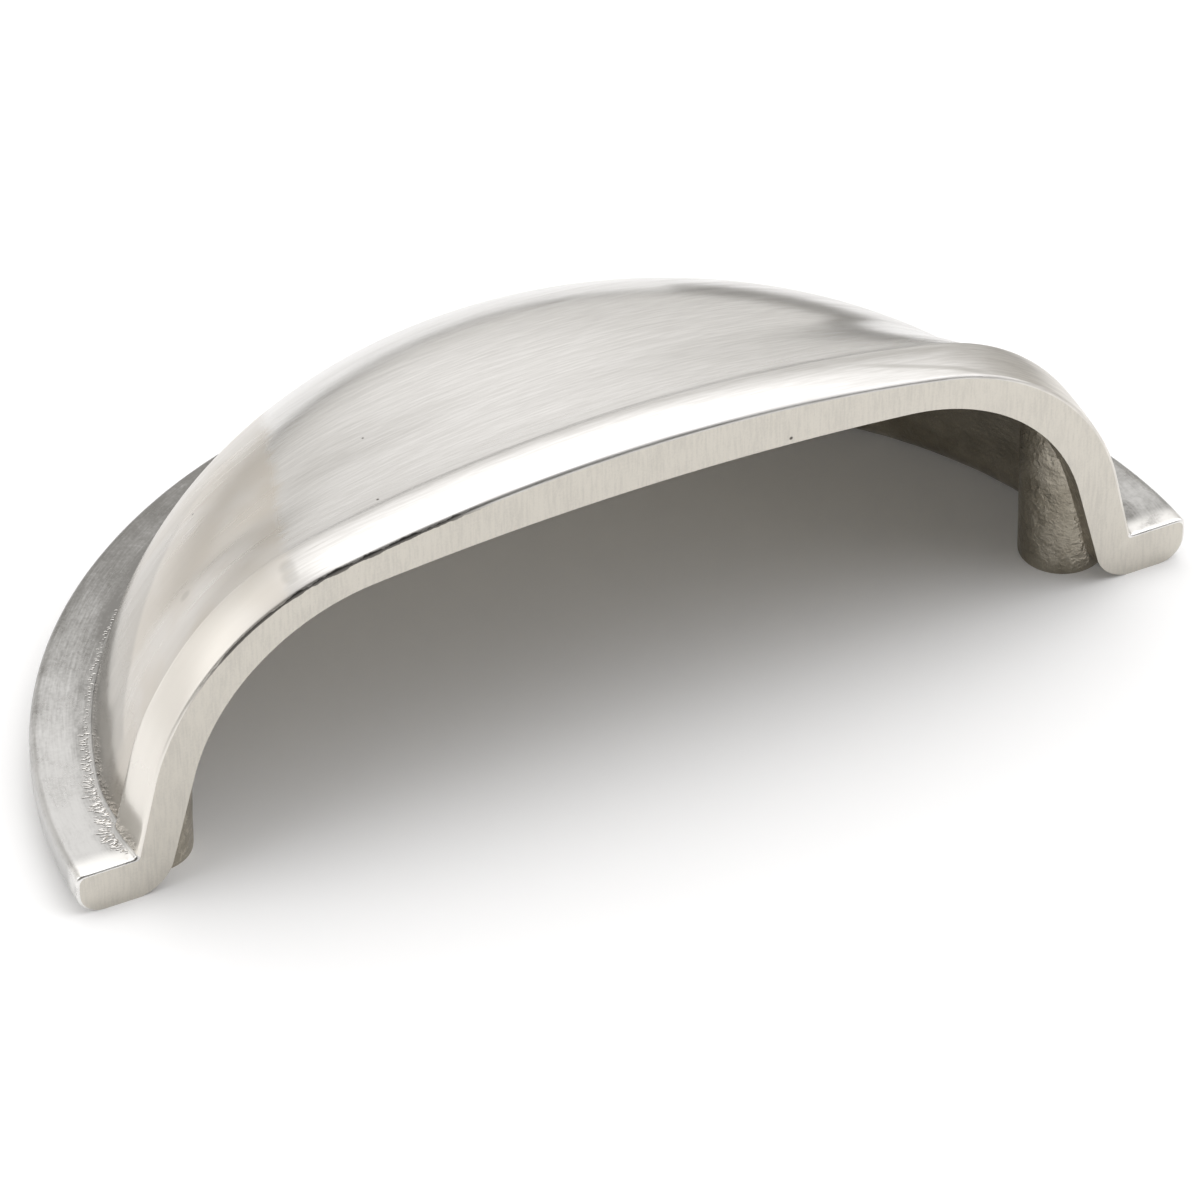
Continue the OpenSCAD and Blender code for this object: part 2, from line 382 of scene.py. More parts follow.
def band_grid(edge, insets):
    """Rows of places inside the mouth's edge, so that marks across the band can follow the arch."""
    along = np.gradient(edge[:, [0, 2]], axis=0)
    inwards = np.stack([along[:, 1], -along[:, 0]], 1) / np.hypot(*along.T)[:, None]
    inwards[0] = (0, -1)
    rows = [edge]
    for inset in insets:
        moved = edge[:, [0, 2]] + inwards * inset
        rows.append(np.stack([moved[:, 0], edge[:, 1], moved[:, 1]], 1))
    return np.array(rows)


ZONE_DOME, ZONE_FLANGE, ZONE_BAND, ZONE_CAST = range(4)
MERGE_WITHIN = 1e-7
SHORTEST_EDGE = 1e-8


class Body:
    """A closed mesh in the making. Each face has a zone, and each corner a place on the surface in
    millimetres, kept as a UV map that brush marks follow."""

    def __init__(self):
        self.mesh = bmesh.new()
        self.zone = self.mesh.faces.layers.int.new("zone")
        self.run = self.mesh.loops.layers.uv.new("run")

    def points(self, grid, sign):
        """Corners at a grid's places, on the right for sign 1 and mirrored to the left for -1."""
        return [[self.mesh.verts.new((sign * x * MM, (y - HOLE_BACK) * MM, z * MM)) for x, y, z in row]
                for row in grid]

    def face(self, corners, places, zone):
        made = self.mesh.faces.new(corners)
        made[self.zone] = zone
        for loop, place in zip(made.loops, places):
            loop[self.run].uv = place

    def sheet(self, verts, places, zone_of_column):
        """Faces between the rows and columns of a grid of corners."""
        for j in range(len(verts) - 1):
            for i in range(len(verts[0]) - 1):
                ring = [(j, i), (j, i + 1), (j + 1, i + 1), (j + 1, i)]
                self.face([verts[a][b] for a, b in ring], [places[a][b] for a, b in ring], zone_of_column(i))

    def flat(self, right, left, zone):
        """A flat face through a chain of points on the right and its mirror image on the left.
        Both start at the middle."""
        corners = right[::-1] + left[1:]
        self.face(corners, [(v.co.z / MM, v.co.x / MM) for v in corners], zone)

    def finish(self, name):
        """The mesh as an object, with its doubles merged and its faces turned outwards."""
        bmesh.ops.remove_doubles(self.mesh, verts=self.mesh.verts, dist=MERGE_WITHIN)
        bmesh.ops.dissolve_degenerate(self.mesh, edges=self.mesh.edges, dist=SHORTEST_EDGE)
        bmesh.ops.recalc_face_normals(self.mesh, faces=self.mesh.faces)
        data = bpy.data.meshes.new(name)
        self.mesh.to_mesh(data)
        self.mesh.free()
        made = bpy.data.objects.new(name, data)
        bpy.context.scene.collection.objects.link(made)
        return made


# Rows of the outside, by their depth behind the mouth, and rows of the band, by their distance
# from its outer edge.
EDGE_DEPTHS = RIM_EDGE_R * (1 - np.cos(np.radians([0, 30, 55, 75, 90])))
LIP_DEPTHS = np.linspace(RIM_EDGE_R, CREST_BACK, 11)[1:]
FALL_DEPTHS = np.linspace(CREST_BACK, CREASE_BACK, 7)[1:]
NEAR_DEPTHS = np.linspace(CREASE_BACK, BACK_FROM, 11)[1:]
BAND_INSETS = [0.12, 0.4, 1.0, 1.8, 2.6, 3.2, 3.9, 4.8]
ROOT_COLUMN = DOME_CELLS + COVE_CELLS


def make_outer_body():
    """The casting's outside as a closed mesh, and the line of the dome's root on its right."""
    grid = half_grid(
        outer_profile,
        [*EDGE_DEPTHS, *LIP_DEPTHS, *FALL_DEPTHS, *NEAR_DEPTHS],
        np.radians(np.linspace(0, 90, OUTER_FAN_CELLS + 1)[1:]),
    )
    band = band_grid(grid[0][: DOME_CELLS + 1], BAND_INSETS)
    round_mouth = lengths_along(band[0])
    round_root = lengths_along(grid[:, ROOT_COLUMN])
    body = Body()
    chains = []
    for sign in (1, -1):
        verts = body.points(grid, sign)
        places = []
        for j, row in enumerate(grid):
            along = round_root[j] if sign > 0 else 2 * round_root[-1] - round_root[j]
            on_dome = [(sign * x, y) for x, y, z in row[:ROOT_COLUMN]]
            places.append(on_dome + [(along, across) for across in lengths_along(row[ROOT_COLUMN:])])
        body.sheet(verts, places, lambda i: ZONE_DOME if i < DOME_CELLS else ZONE_FLANGE)
        strip = [verts[0][: DOME_CELLS + 1], *body.points(band[1:], sign)]
        places = [[(sign * along, inset) for along in round_mouth] for inset in (0, *BAND_INSETS)]
        body.sheet(strip, places, lambda i: ZONE_BAND)
        chains.append([*strip[-1], *[row[-1] for row in strip[-2::-1]], *verts[0][DOME_CELLS + 1 :]])
        chains.append([row[-1] for row in verts[::-1]])
    body.flat(chains[0], chains[2], ZONE_BAND)
    body.flat(chains[1], chains[3], ZONE_FLANGE)
    return body.finish("cup_pull_casting"), grid[:, ROOT_COLUMN]


def make_hollow():
    """The hollow as a closed mesh that reaches past the mouth and the mounting face."""
    depths = [-CUT_PAST, 0.0, 1.0, 2.0, *np.linspace(BAND_DEPTH, BACK_FROM, 16)]
    grid = half_grid(inner_profile, depths, np.radians(np.linspace(0, 90, INNER_FAN_CELLS + 1)[1:]))
    body = Body()
    sides = [body.points(grid, sign) for sign in (1, -1)]
    for verts in sides:
        body.sheet(verts, grid[:, :, :2], lambda i: ZONE_CAST)
    body.flat(sides[0][0], sides[1][0], ZONE_CAST)
    body.flat(*[[row[-1] for row in verts[::-1]] for verts in sides], ZONE_CAST)
    return body.finish("hollow")


def turned_solid(name, x, profile, sides):
    """A solid turned about a vertical axis at x, in line with the screw holes."""
    body = Body()
    turns = np.linspace(0, 2 * math.pi, sides, endpoint=False)
    rings = [[body.mesh.verts.new(((x + r * math.cos(a)) * MM, r * math.sin(a) * MM, z * MM)) for a in turns]
             for r, z in profile]
    for low, high in zip(rings, rings[1:]):
        for i in range(sides):
            after = (i + 1) % sides
            body.face([low[i], low[after], high[after], high[i]], [(0, 0)] * 4, ZONE_CAST)
    for ring in (rings[0], rings[-1]):
        body.face(ring, [(0, 0)] * sides, ZONE_CAST)
    return body.finish(name)


def evaluated(thing):
    """A mesh of the object with its modifiers applied."""
    graph = bpy.context.evaluated_depsgraph_get()
    ready = thing.evaluated_get(graph)
    return bpy.data.meshes.new_from_object(ready, preserve_all_data_layers=True, depsgraph=graph)


def cut(body, tool):
    """Takes a tool's solid out of a body's and removes the tool."""
    boolean = body.modifiers.new("cut", "BOOLEAN")
    boolean.operation = "DIFFERENCE"
    boolean.solver = "EXACT"
    boolean.object = tool
    result = evaluated(body)
    body.modifiers.clear()
    body.data = result
    bpy.data.objects.remove(tool)


BOSS_RINGS = 56
BOSS_SIDES = 80
HOLE_SIDES = 48

# A boss is the metal that stays where the hollow is cut, so it is taken out of the hollow first.
casting, root_line = make_outer_body()
hollow = make_hollow()
for side in (-1, 1):
    heights = np.linspace(-2 * CUT_PAST, MOUTH_HEIGHT + 2 * CUT_PAST, BOSS_RINGS)
    radii = (BOSS_D + BOSS_TAPER * np.maximum(heights, 0) / DOME_HEIGHT) / 2
    boss_x = side * (HOLE_SPACING / 2 + BOSS_SHIFT)
    cut(hollow, turned_solid("boss", boss_x, list(zip(radii, heights)), BOSS_SIDES))
cut(casting, hollow)
for side in (-1, 1):
    outline = [(HOLE_D / 2, -CUT_PAST), (HOLE_D / 2, HOLE_DEPTH)]
    cut(casting, turned_solid("hole", side * HOLE_SPACING / 2, outline, HOLE_SIDES))


def add(tree, kind, inputs=None, **settings):
    """A node of that kind, with its settings, and its inputs set or linked."""
    made = tree.nodes.new(kind)
    for name, value in settings.items():
        setattr(made, name, value)
    for name, value in (inputs or {}).items():
        if isinstance(value, bpy.types.NodeSocket):
            tree.links.new(value, made.inputs[name])
        else:
            made.inputs[name].default_value = value
    return made


def maths(tree, operation, a, b=0.0):
    return add(tree, "ShaderNodeMath", {0: a, 1: b}, operation=operation).outputs[0]


def ramp(tree, value, start, end, low=0.0, high=1.0):
    """Passes smoothly from low to high as a value goes from start to end."""
    sockets = {"Value": value, "From Min": start, "From Max": end, "To Min": low, "To Max": high}
    return add(tree, "ShaderNodeMapRange", sockets, interpolation_type="SMOOTHSTEP").outputs["Result"]


def ramp_mm(tree, value, span, low=0.0, high=1.0):
    """The same, with the start and end given in millimetres."""
    return ramp(tree, value, span[0] * MM, span[1] * MM, low, high)


def grain(tree, place, stretch, detail=3.0, roughness=0.55):
    """Noise stretched along an axis. stretch gives its grains per unit of the place along each axis."""
    scaled = add(tree, "ShaderNodeVectorMath", {0: place, 1: stretch}, operation="MULTIPLY").outputs[0]
    sockets = {"Vector": scaled, "Scale": 1.0, "Detail": detail, "Roughness": roughness}
    return add(tree, "ShaderNodeTexNoise", sockets).outputs["Fac"]


def blend(tree, factor, a, b):
    """Passes from colour a to colour b as the factor goes from 0 to 1."""
    node = add(tree, "ShaderNodeMix", data_type="RGBA")
    for socket, value in ((node.inputs[0], factor), (node.inputs[6], a), (node.inputs[7], b)):
        if isinstance(value, bpy.types.NodeSocket):
            tree.links.new(value, socket)
        else:
            socket.default_value = value
    return node.outputs[2]


def metal(name):
    """A plain metal, its node tree and its shader."""
    made = bpy.data.materials.new(name)
    made.use_nodes = True
    shader = made.node_tree.nodes["Principled BSDF"]
    shader.inputs["Metallic"].default_value = 1.0
    return made, made.node_tree, shader


PIT_FLOOR = 0.4  # share of a pit's radius that is fully dark


def pits(tree, place, spots):
    """Small round casting pits: 1 in the middle of each and 0 outside. A spot is a place and a radius."""
    total = None
    for centre, radius in spots:
        offset = add(tree, "ShaderNodeVectorMath", {0: place, 1: Vector(centre) * MM}, operation="DISTANCE")
        one = ramp_mm(tree, offset.outputs["Value"], (radius, radius * PIT_FLOOR))
        total = maths(tree, "MAXIMUM", one, total) if total else one
    return total


NICKEL = (0.65, 0.64, 0.625, 1)
NICKEL_WARM = (0.56, 0.525, 0.475, 1)
NICKEL_POLISHED = (0.78, 0.75, 0.70, 1)
NICKEL_DARK = (0.38, 0.365, 0.34, 1)
PIT = (0.10, 0.09, 0.08, 1)
EDGE_LINE_DARK = (0.06, 0.055, 0.05, 1)
# This colour serves smudges and painted shade.
STAIN_AND_SHADE = (0.20, 0.19, 0.165, 1)
# Marks on the dome. A pair says where a mark starts and where it is whole, in millimetres: along
# the pull (X), over the mounting face (Z) or behind the mouth (DEPTH).
BRUSHED_X = (-27.9, -26.7)
BRUSHED_SLANT = -0.38  # its edge moves to the right by this share of the way back
BRUSHED_WANDER = 2.0
EDGE_LINE_LEFT_X = (-39.0, -34.0)
EDGE_LINE_RIGHT_X = (-12.0, -17.0)
EDGE_LINE_THICK_X = (-31, -27)
EDGE_LINE_WIDTH = (0.04, 0.22)
LIP_FRONT_DEPTH = (CREASE_BACK, CREST_BACK)
LIP_WORN_Z = (27, 19)
# Values for a painted reflection of the flange on the foot of the left wall.
LOW_WALL_Z = (6.9, 6.0)
LOW_WALL_SLOPE = 0.5  # its top rises by this share of the depth
LOW_WALL_FRONT_DEPTH = (5.3, 7.5)
LOW_WALL_REAR_DEPTH = (26, 16)
LOW_WALL_X = (-18, -24)
# Values for painted shade in the crease at the sides.
CREASE_SHADE_WIDTH = (0.13, 0.04)
CREASE_SHADE_Z = (16, 12)
# Values for a painted dark streak on the right.
STREAK_DEPTH = 5.8
STREAK_SLANT = 0.19  # it comes forward by this share of the way to the right
STREAK_WIDTH = (0.3, 0.05)
STREAK_ENDS_X = [(18, 22), (30, 27)]
SATIN_Z = (7, 13)
LIP_SATIN_DEPTH = (CREASE_BACK + 3, CREST_BACK)
LIP_SATIN_Z = (8, 20)
DOME_PITS = [((-19.8, -0.4, 26.3), 0.15), ((-16.9, 8.35, 24.9), 0.12), ((-28.4, 14.2, 17.5), 0.14)]
SMUDGES = [((-28.6, -3.9, 24.8), 0.9), ((-28.4, -3.1, 24.9), 0.9), ((-33.1, 5.2, 17.9), 0.7)]


def dark_edge_line(tree, place, distance):
    """A dark line along the mouth's edge, thickest on the left of the middle and uneven."""
    x = add(tree, "ShaderNodeSeparateXYZ", {0: place}).outputs["X"]
    there = maths(tree, "MULTIPLY", ramp_mm(tree, x, EDGE_LINE_LEFT_X), ramp_mm(tree, x, EDGE_LINE_RIGHT_X))
    uneven = grain(tree, place, (900, 300, 900), 3.0)
    thick = ramp_mm(tree, x, EDGE_LINE_THICK_X, 0.4, 1.0)
    width = ramp(tree, uneven, 0.3, 0.7, EDGE_LINE_WIDTH[0] * MM, EDGE_LINE_WIDTH[1] * MM)
    width = maths(tree, "MULTIPLY", thick, width)
    near = maths(tree, "SUBTRACT", 1.0, ramp(tree, maths(tree, "DIVIDE", distance, width), 0.5, 1.1))
    return maths(tree, "MULTIPLY", there, near)


def make_dome_nickel():
    """Belt-brushed nickel. The belt ran lengthwise and didn't reach the left shoulder."""
    made, tree, shader = metal("brushed_nickel")
    place = add(tree, "ShaderNodeTexCoord").outputs["Object"]
    facing = add(tree, "ShaderNodeSeparateXYZ", {0: add(tree, "ShaderNodeNewGeometry").outputs["Normal"]})
    on_back = ramp(tree, facing.outputs["Y"], 0.55, 0.85)
    fine = grain(tree, place, (330, 6000, 400), 4.0, 0.6)
    fine_back = grain(tree, place, (330, 400, 6000), 4.0, 0.6)
    coarse = grain(tree, place, (70, 1500, 150), 2.0)
    scratches = grain(tree, place, (90, 9000, 900), 1.0)
    streaks = add(tree, "ShaderNodeMix", {0: on_back, 2: fine, 3: fine_back}).outputs[0]
    x, y, z = add(tree, "ShaderNodeSeparateXYZ", {0: place}).outputs
    from_mouth = maths(tree, "ADD", y, HOLE_BACK * MM)

    # The brush marks, strong where the belt ran and faint to the left of it.
    edge = maths(tree, "ADD", x, maths(tree, "MULTIPLY", y, BRUSHED_SLANT))
    wander = maths(tree, "MULTIPLY", maths(tree, "SUBTRACT", coarse, 0.5), BRUSHED_WANDER * MM)
    brushed = ramp_mm(tree, maths(tree, "ADD", edge, wander), BRUSHED_X)
    strength = ramp(tree, brushed, 0, 1, 0.04, 1.0)
    height = maths(tree, "ADD", streaks, maths(tree, "MULTIPLY", coarse, 0.5))
    height = maths(tree, "MULTIPLY", height, strength)
    bump = add(tree, "ShaderNodeBump", {"Height": height, "Distance": 0.005 * MM, "Strength": 1.0})
    tree.links.new(bump.outputs[0], shader.inputs["Normal"])

    # The bare metal: warm and blotchy on the left, polished along the front of the lip.
    blotches = ramp(tree, grain(tree, place, (160, 160, 160), 2.0), 0.40, 0.65)
    colour = blend(tree, maths(tree, "MULTIPLY", blotches, 0.4), NICKEL_WARM, NICKEL)
    colour = blend(tree, brushed, colour, NICKEL)
    on_front = ramp_mm(tree, from_mouth, LIP_FRONT_DEPTH)
    wear_and_shade = maths(tree, "MULTIPLY", on_front, ramp_mm(tree, z, LIP_WORN_Z))
    colour = blend(tree, wear_and_shade, colour, NICKEL_POLISHED)

    # Painted reflection: the foot of the left wall is darkened where it mirrors the dark flange.
    height = maths(tree, "SUBTRACT", z, maths(tree, "MULTIPLY", from_mouth, LOW_WALL_SLOPE))
    low_wall_painted_reflection = ramp_mm(tree, height, LOW_WALL_Z, 0.0, 0.6)
    low_wall_painted_reflection = maths(tree, "MULTIPLY", low_wall_painted_reflection, ramp_mm(tree, from_mouth, LOW_WALL_FRONT_DEPTH))
    low_wall_painted_reflection = maths(tree, "MULTIPLY", low_wall_painted_reflection, ramp_mm(tree, from_mouth, LOW_WALL_REAR_DEPTH))
    low_wall_painted_reflection = maths(tree, "MULTIPLY", low_wall_painted_reflection, ramp_mm(tree, x, LOW_WALL_X))
    colour = blend(tree, low_wall_painted_reflection, colour, NICKEL_DARK)

    # Painted shade in the crease at the sides and a painted dark streak behind the lip on the right;
    # smudges.
    crease_painted_shade = maths(tree, "ABSOLUTE", maths(tree, "SUBTRACT", from_mouth, CREASE_BACK * MM))
    crease_painted_shade = ramp_mm(tree, crease_painted_shade, CREASE_SHADE_WIDTH)
    crease_painted_shade = maths(tree, "MULTIPLY", crease_painted_shade, ramp_mm(tree, z, CREASE_SHADE_Z))
    # Painted reflection: a short dark streak on the right.
    slant = maths(tree, "ADD", from_mouth, maths(tree, "MULTIPLY", x, STREAK_SLANT))
    painted_dark_streak = maths(tree, "ABSOLUTE", maths(tree, "SUBTRACT", slant, STREAK_DEPTH * MM))
    painted_dark_streak = ramp_mm(tree, painted_dark_streak, STREAK_WIDTH)
    for end in STREAK_ENDS_X:
        painted_dark_streak = maths(tree, "MULTIPLY", painted_dark_streak, ramp_mm(tree, x, end))
    for mark, amount in ((crease_painted_shade, 0.6), (painted_dark_streak, 0.4), (pits(tree, place, SMUDGES), 0.25)):
        colour = blend(tree, maths(tree, "MULTIPLY", mark, amount), colour, STAIN_AND_SHADE)

    # Dark brush marks and scratches, then the pits and the dark line along the mouth's edge.
    shade = ramp(tree, streaks, 0.66, 0.36, 0.0, 0.26)
    shade = maths(tree, "ADD", shade, ramp(tree, scratches, 0.69, 0.74, 0.0, 0.22))
    shade = maths(tree, "ADD", shade, maths(tree, "MULTIPLY", on_front, 0.1))
    colour = blend(tree, maths(tree, "MULTIPLY", shade, strength), colour, NICKEL_DARK)
    colour = blend(tree, pits(tree, place, DOME_PITS), colour, PIT)
    edge_line = maths(tree, "MULTIPLY", dark_edge_line(tree, place, from_mouth), 0.9)
    tree.links.new(blend(tree, edge_line, colour, EDGE_LINE_DARK), shader.inputs["Base Color"])

    # The gloss: more satin on the upper part of the unbrushed shoulder and over the lip.
    satin = ramp_mm(tree, z, SATIN_Z, -0.03, 0.1)
    satin = maths(tree, "MULTIPLY", maths(tree, "SUBTRACT", 1.0, brushed), satin)
    on_lip = ramp_mm(tree, from_mouth, LIP_SATIN_DEPTH, 0.0, 0.15)
    on_lip = maths(tree, "MULTIPLY", on_lip, ramp_mm(tree, z, LIP_SATIN_Z))
    rough = maths(tree, "ADD", ramp(tree, coarse, 0.3, 0.7, 0.17, 0.23), maths(tree, "ADD", satin, on_lip))
    tree.links.new(rough, shader.inputs["Roughness"])
    return made


BAND_NICKEL = (0.62, 0.59, 0.53, 1)
BAND_PITS = [((12.1, -5.3, 24.2), 0.2)]


def make_band_nickel():
    """The mouth's flat face, ground with fine strokes straight up and down."""
    made, tree, shader = metal("ground_nickel")
    run = add(tree, "ShaderNodeUVMap", uv_map="run").outputs[0]
    place = add(tree, "ShaderNodeTexCoord").outputs["Object"]
    strokes = grain(tree, place, (4200, 1, 420), 4.0, 0.6)
    sand = grain(tree, place, (5000, 1, 5000), 2.0, 0.6)
    patches = grain(tree, place, (400, 1, 250), 2.0)
    height = maths(tree, "ADD", strokes, maths(tree, "MULTIPLY", sand, 0.5))
    bump = add(tree, "ShaderNodeBump", {"Height": height, "Distance": 0.006 * MM, "Strength": 1.0})
    tree.links.new(bump.outputs[0], shader.inputs["Normal"])
    shade = maths(tree, "ADD", height, maths(tree, "MULTIPLY", patches, 0.5))
    colour = blend(tree, ramp(tree, shade, 1.15, 0.75, 0.0, 0.30), BAND_NICKEL, NICKEL_DARK)
    inset = maths(tree, "MULTIPLY", add(tree, "ShaderNodeSeparateXYZ", {0: run}).outputs["Y"], MM)
    colour = blend(tree, maths(tree, "MULTIPLY", dark_edge_line(tree, place, inset), 0.85), colour, EDGE_LINE_DARK)
    tree.links.new(blend(tree, pits(tree, place, BAND_PITS), colour, PIT), shader.inputs["Base Color"])
    shader.inputs["Roughness"].default_value = 0.3
    return made


# The flange's light and dark colours carry both its random tone and its painted light.
FLANGE_LIGHT = (0.56, 0.555, 0.545, 1)
FLANGE_DARK = (0.20, 0.195, 0.185, 1)
# The colour of a painted highlight at the front end.
FLANGE_FRONT_HIGHLIGHT = (0.84, 0.83, 0.81, 1)
FLANGE_PAINTED_LIGHT_Y = (34, 2)
FLANGE_RIGHT_X = (30, 42)
FLANGE_ROOT_WIDTH = (1.9, 0.6)
FLANGE_OUTER_WIDTH = (3.2, 5.2)
FLANGE_OUTER_Y = (-2, 12)
FLANGE_FRONT_DEPTH = (2.2, 0.8)


def make_flange_nickel():
    """The flange's top: duller and blotchy, brushed along its outline. Painted light makes it lighter
    towards the front and darker towards the back, with a painted highlight at its front end and painted
    shade near the root.
    It is also darker near the edge."""
    made, tree, shader = metal("dull_nickel")
    run = add(tree, "ShaderNodeUVMap", uv_map="run").outputs[0]
    place = add(tree, "ShaderNodeTexCoord").outputs["Object"]
    across = add(tree, "ShaderNodeSeparateXYZ", {0: run}).outputs["Y"]
    x, y = add(tree, "ShaderNodeSeparateXYZ", {0: place}).outputs[:2]
    blotches = grain(tree, place, (260, 260, 260), 5.0, 0.65)
    specks = grain(tree, place, (3200, 3200, 3200), 2.0, 0.6)
    brush = grain(tree, run, (0.45, 5.2, 1), 4.0, 0.6)
    bump = add(tree, "ShaderNodeBump", {"Height": maths(tree, "ADD", brush, specks), "Distance": 0.006 * MM})
    tree.links.new(bump.outputs[0], shader.inputs["Normal"])
    # Painted light: lighter towards the front and darker towards the back.
    tone_and_painted_light = ramp_mm(tree, y, FLANGE_PAINTED_LIGHT_Y, 0.14, 0.88)
    tone_and_painted_light = maths(tree, "SUBTRACT", tone_and_painted_light, ramp_mm(tree, x, FLANGE_RIGHT_X, 0.0, 0.3))
    for part, amount in ((blotches, 0.7), (brush, 0.6), (specks, 0.4)):
        tone_and_painted_light = maths(tree, "ADD", tone_and_painted_light, maths(tree, "MULTIPLY", maths(tree, "SUBTRACT", part, 0.5), amount))
    # Painted shade along the root, made patchy by the blotches.
    wear_and_shade = ramp(tree, blotches, 0.42, 0.56, 0.3, 1.0)
    root = maths(tree, "MULTIPLY", wear_and_shade, ramp(tree, across, *FLANGE_ROOT_WIDTH, 0.0, 0.42))
    outer = ramp(tree, across, *FLANGE_OUTER_WIDTH, 0.0, 0.16)
    outer = maths(tree, "MULTIPLY", ramp_mm(tree, y, FLANGE_OUTER_Y), outer)
    tone_and_painted_light = maths(tree, "SUBTRACT", maths(tree, "SUBTRACT", tone_and_painted_light, outer), root)
    colour = blend(tree, ramp(tree, tone_and_painted_light, 0.0, 1.0), FLANGE_DARK, FLANGE_LIGHT)
    # A painted highlight along the front end.
    front = ramp_mm(tree, maths(tree, "ADD", y, HOLE_BACK * MM), FLANGE_FRONT_DEPTH)
    front = maths(tree, "MULTIPLY", front, ramp(tree, blotches, 0.35, 0.5, 0.4, 1.0))
    colour = blend(tree, front, colour, FLANGE_FRONT_HIGHLIGHT)
    tree.links.new(colour, shader.inputs["Base Color"])
    tree.links.new(ramp(tree, blotches, 0.3, 0.7, 0.25, 0.36), shader.inputs["Roughness"])
    return made


# The first colour and the side below are for painted light.
CAST_PAINTED_LIGHT = (0.62, 0.575, 0.49, 1)
CAST_LIGHT = (0.42, 0.385, 0.32, 1)
CAST_DARK = (0.31, 0.28, 0.225, 1)
PAINTED_LIGHT_SIDE = (0.5, -0.87, 0)


def make_cast_nickel():
    """The hollow as it left the mould, plated but not brushed. Painted light: the sides that face the mouth
    and the right are a little lighter, with small painted glints."""
    made, tree, shader = metal("cast_nickel")
    place = add(tree, "ShaderNodeTexCoord").outputs["Object"]
    sand = grain(tree, place, (1500, 1500, 1500), 3.0, 0.6)
    blotches = grain(tree, place, (300, 300, 300), 3.0)
    bump = add(tree, "ShaderNodeBump", {"Height": sand, "Distance": 0.22 * MM, "Strength": 1.0})
    tree.links.new(bump.outputs[0], shader.inputs["Normal"])
    colour = blend(tree, ramp(tree, blotches, 0.35, 0.65), CAST_DARK, CAST_LIGHT)
    # Painted light by which way the surface faces, with painted glints.
    normal = add(tree, "ShaderNodeNewGeometry").outputs["Normal"]
    towards = add(tree, "ShaderNodeVectorMath", {0: normal, 1: PAINTED_LIGHT_SIDE}, operation="DOT_PRODUCT")
    painted_lit_side = ramp(tree, towards.outputs["Value"], 0.5, 1.0)
    painted_glints = maths(tree, "ADD", 0.35, ramp(tree, sand, 0.56, 0.64, 0.0, 0.65))
    colour = blend(tree, maths(tree, "MULTIPLY", painted_lit_side, painted_glints), colour, CAST_PAINTED_LIGHT)
    tree.links.new(colour, shader.inputs["Base Color"])
    shader.inputs["Roughness"].default_value = 0.3
    return made


NICKEL_BRIGHT = (0.72, 0.705, 0.68, 1)


def make_bright_nickel():
    """The raised nicks, polished by the belt."""
    made, tree, shader = metal("bright_nickel")
    shader.inputs["Base Color"].default_value = NICKEL_BRIGHT
    shader.inputs["Roughness"].default_value = 0.2
    return made


class Recipe:
    """A Geometry Nodes tree with named inputs, run once on an object to make a plain mesh."""

    def __init__(self, name, inputs):
        self.tree = bpy.data.node_groups.new(name, "GeometryNodeTree")
        self.tree.interface.new_socket("Geometry", in_out="INPUT", socket_type="NodeSocketGeometry")
        self.tree.interface.new_socket("Geometry", in_out="OUTPUT", socket_type="NodeSocketGeometry")
        self.values = {}
        for label, value in inputs.items():
            kind = "NodeSocketVector" if isinstance(value, tuple) else "NodeSocketFloat"
            socket = self.tree.interface.new_socket(label, in_out="INPUT", socket_type=kind)
            socket.default_value = value
            self.values[socket.identifier] = value
        self.given = self.tree.nodes.new("NodeGroupInput").outputs

    def finish(self, geometry, material, selection=True):
        whole = add(self.tree, "GeometryNodeRealizeInstances", {0: geometry}).outputs[0]
        sockets = {"Geometry": whole, "Selection": selection, "Material": material}
        done = add(self.tree, "GeometryNodeSetMaterial", sockets).outputs[0]
        self.tree.links.new(done, self.tree.nodes.new("NodeGroupOutput").inputs[0])

    def run_on(self, thing):
        modifier = thing.modifiers.new(self.tree.name, "NODES")
        modifier.node_group = self.tree
        for identifier, value in self.values.items():
            modifier[identifier] = value
        result = evaluated(thing)
        thing.modifiers.clear()
        thing.data = result


CAST_SKIN_HEIGHT = 0.16
CAST_SKIN_LUMPS_PER_MM = 0.7
CAST_SKIN_SEED = 3.0
WHOLLY = 0.99  # share of the faces round a corner, above which it has only cast faces


